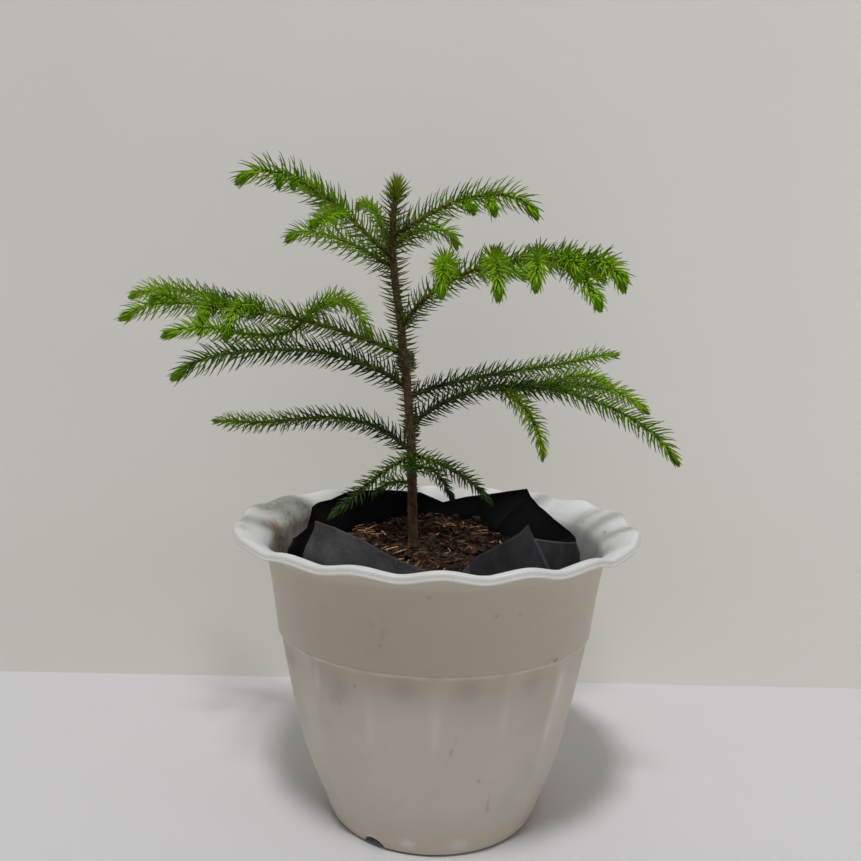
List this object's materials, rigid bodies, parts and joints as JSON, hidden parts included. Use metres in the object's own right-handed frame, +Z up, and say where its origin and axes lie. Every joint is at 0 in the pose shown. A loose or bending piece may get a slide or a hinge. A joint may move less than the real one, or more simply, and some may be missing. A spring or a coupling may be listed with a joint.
{
  "type": "potted norfolk island pine",
  "caption": "Young Norfolk Island pine with whorled boughs of awl-shaped needles, in a nursery bag inside a ruffled plastic pot.",
  "frame": {"origin": "centre of the pot's flat underside, on the surface that it stands on", "axes": "+Z up along the trunk, -Y towards the front, +X to the viewer's right when seen from the front"},
  "size_m": [0.401, 0.2756, 0.4339],
  "materials": {
    "pot_plastic": "off-white moulded plastic, satin, grimy and scuffed",
    "bag_film": "thin black polythene film, creased, dusty where it folds outward",
    "potting_mix": "damp dark mix with orange-brown bark chips and coir",
    "bark": "brown bark with small scale scars",
    "needles_old": "dark bluish-green needles, waxy",
    "needles_new": "bright yellow-green needles, waxy"
  },
  "bodies": {
    "root": {"pot": "pot_plastic", "grow_bag": "bag_film", "potting_mix": "potting_mix", "trunk": "bark", "bough_top_left": "bark", "bough_top_right": "bark", "bough_top_left_back": "bark", "bough_top_right_back": "bark", "bough_top_back": "bark", "bough_upper_right": "bark", "bough_upper_left": "bark", "bough_upper_left_front": "bark", "bough_upper_back": "bark", "bough_middle_right_back": "bark", "bough_middle_right": "bark", "bough_middle_left": "bark", "bough_middle_back": "bark", "bough_lower_left": "bark", "bough_lower_right": "bark", "bough_lower_front": "bark", "bough_lower_right_back": "bark", "bough_lower_left_back": "bark", "needles_top_left": "needles_new", "needles_top_right": "needles_new", "needles_top_left_back": "needles_new", "needles_top_right_back": "needles_new", "needles_top_back": "needles_new", "needles_upper_right": "needles_new", "needles_upper_left": "needles_new", "needles_upper_left_front": "needles_new", "needles_upper_back": "needles_new", "needles_middle_right_back": "needles_old", "needles_middle_right": "needles_old", "needles_middle_left": "needles_old", "needles_middle_back": "needles_old", "needles_lower_left": "needles_old", "needles_lower_right": "needles_old", "needles_lower_front": "needles_old", "needles_lower_right_back": "needles_old", "needles_lower_left_back": "needles_old", "needles_trunk_1": "needles_old", "needles_trunk_2": "needles_old", "needles_trunk_3": "needles_old", "needles_trunk_4": "needles_old"}
  },
  "joints": []
}
